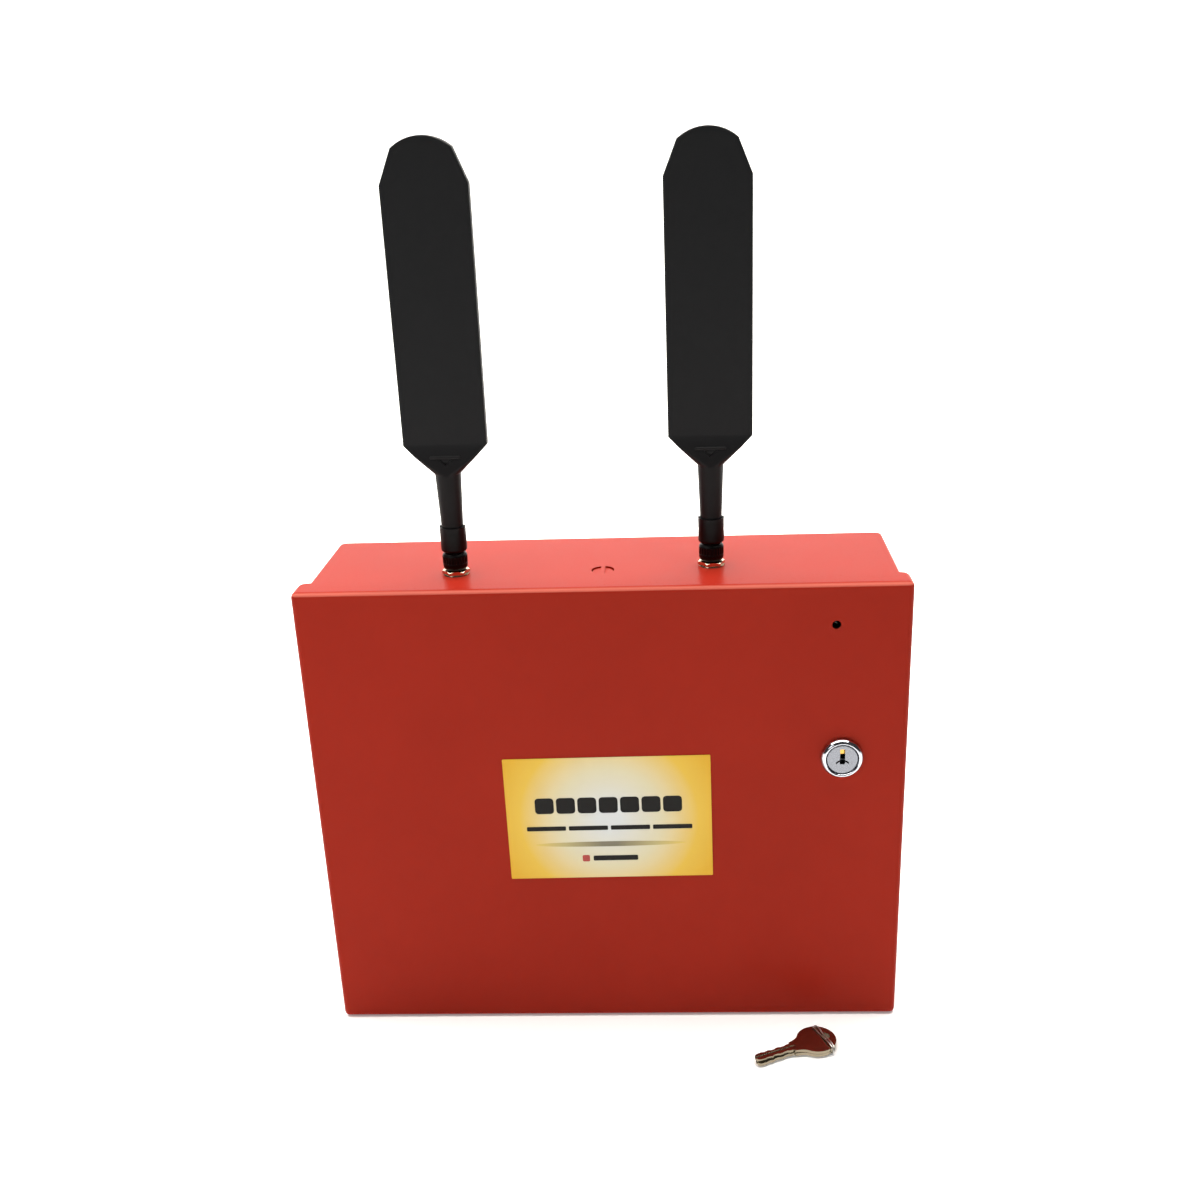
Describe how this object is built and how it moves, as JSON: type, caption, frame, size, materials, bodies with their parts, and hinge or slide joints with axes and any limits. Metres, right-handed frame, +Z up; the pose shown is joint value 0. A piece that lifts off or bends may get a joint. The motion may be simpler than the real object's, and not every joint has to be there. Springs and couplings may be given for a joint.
{
  "type": "fire alarm control panel",
  "caption": "Red sheet-steel fire alarm communicator cabinet with hinged locking door, two folding blade antennas, board, battery and keys.",
  "frame": {"origin": "centre of the cabinet's flat base, halfway between the door face and the back wall", "axes": "+X towards the lock side as seen from the front, +Y towards the wall, +Z up"},
  "size_m": [0.2876, 0.1307, 0.4298],
  "materials": {
    "red_powder_coat": "satin powder coat",
    "zinc_plated_steel": "bright zinc plate",
    "chrome_plate": "polished chrome plate",
    "brass": "gold-tone plated brass",
    "nickel_silver": "satin nickel silver",
    "black_plastic": "fine matte moulding",
    "black_insulation": "satin PVC",
    "red_insulation": "satin PVC",
    "white_nylon": "natural nylon",
    "solder_mask": "green solder mask",
    "blue_solder_mask": "blue solder mask",
    "green_terminal_plastic": "moulded",
    "blue_relay_plastic": "moulded",
    "battery_plastic": "moulded ABS",
    "grey_plastic": "moulded",
    "core_steel": "varnished laminations",
    "winding_tape": "polyester tape",
    "label_film": "printed polyester film"
  },
  "bodies": {
    "cabinet": {"back_box": "red_powder_coat", "lock_strike": "red_powder_coat", "hinge_leaf_cabinet_upper": "red_powder_coat", "hinge_leaf_cabinet_lower": "red_powder_coat", "battery_retainer": "red_powder_coat", "hinge_pin_upper": "zinc_plated_steel", "hinge_pin_lower": "zinc_plated_steel", "antenna_nut_left": "zinc_plated_steel", "antenna_nut_right": "zinc_plated_steel", "radio_shield": "zinc_plated_steel", "battery_terminal_negative": "zinc_plated_steel", "battery_terminal_positive": "zinc_plated_steel", "transformer_frame": "zinc_plated_steel", "lamp_bracket": "zinc_plated_steel", "antenna_jack_left": "brass", "antenna_jack_right": "brass", "antenna_collar_left": "black_plastic", "antenna_collar_right": "black_plastic", "board_capacitor": "black_plastic", "status_lamp": "black_plastic", "battery_lead_black": "black_insulation", "transformer_lead": "black_insulation", "coax_left": "black_insulation", "coax_right": "black_insulation", "lamp_lead": "black_insulation", "battery_lead_red": "red_insulation", "board_standoff_1": "white_nylon", "board_standoff_2": "white_nylon", "board_standoff_3": "white_nylon", "board_standoff_4": "white_nylon", "main_board": "solder_mask", "radio_board": "blue_solder_mask", "terminal_block_left": "green_terminal_plastic", "terminal_block_right": "green_terminal_plastic", "relay": "blue_relay_plastic", "battery_case": "battery_plastic", "button_housing": "grey_plastic", "transformer_core": "core_steel", "transformer_winding": "winding_tape"},
    "door": {"door_panel": "red_powder_coat", "front_label": "label_film", "hinge_leaf_door_upper": "red_powder_coat", "hinge_leaf_door_lower": "red_powder_coat", "lock_body": "chrome_plate", "lock_nut": "zinc_plated_steel"},
    "lock_plug": {"lock_plug": "chrome_plate", "lock_cam": "zinc_plated_steel", "cam_screw": "zinc_plated_steel"},
    "antenna_left_swivel": {"antenna_knuckle_left": "black_plastic", "antenna_pin_left": "zinc_plated_steel"},
    "antenna_left_blade": {"antenna_blade_left": "black_plastic"},
    "antenna_right_swivel": {"antenna_knuckle_right": "black_plastic", "antenna_pin_right": "zinc_plated_steel"},
    "antenna_right_blade": {"antenna_blade_right": "black_plastic"},
    "test_button": {"test_button": "black_plastic"},
    "keys": {"key_upper": "nickel_silver", "key_lower": "nickel_silver", "key_tie": "zinc_plated_steel"}
  },
  "joints": [
    {"name": "door_hinge", "type": "hinge", "parent": "cabinet", "child": "door", "pos_m": [-0.1424, -0.0269, 0.1175], "axis": [0, 0, -1], "range_deg": [0, 170]},
    {"name": "lock_turn", "type": "hinge", "parent": "door", "child": "lock_plug", "pos_m": [0.1121, -0.0445, 0.1476], "axis": [0, 1, 0], "range_deg": [0, 90]},
    {"name": "antenna_left_turn", "type": "hinge", "parent": "cabinet", "child": "antenna_left_swivel", "pos_m": [-0.071, -0.01, 0.24], "axis": [0, 0, 1], "range_deg": [0, 180]},
    {"name": "antenna_left_fold", "type": "hinge", "parent": "antenna_left_swivel", "child": "antenna_left_blade", "pos_m": [-0.071, -0.01, 0.25], "axis": [-1, 0, 0], "range_deg": [0, 90]},
    {"name": "antenna_right_turn", "type": "hinge", "parent": "cabinet", "child": "antenna_right_swivel", "pos_m": [0.0519, -0.004, 0.24], "axis": [0, 0, 1], "range_deg": [-180, 0]},
    {"name": "antenna_right_fold", "type": "hinge", "parent": "antenna_right_swivel", "child": "antenna_right_blade", "pos_m": [0.0519, -0.004, 0.25], "axis": [-1, 0, 0], "range_deg": [0, 90]},
    {"name": "button_press", "type": "slide", "parent": "cabinet", "child": "test_button", "axis": [0, 1, 0], "range_m": [0, 0.0005], "stiffness_N_per_m": 1500, "springref_m": -0.0004},
    {"name": "key_lift", "type": "slide", "parent": "cabinet", "child": "keys", "axis": [0, 0, 1], "range_m": [0, 0.15]}
  ]
}
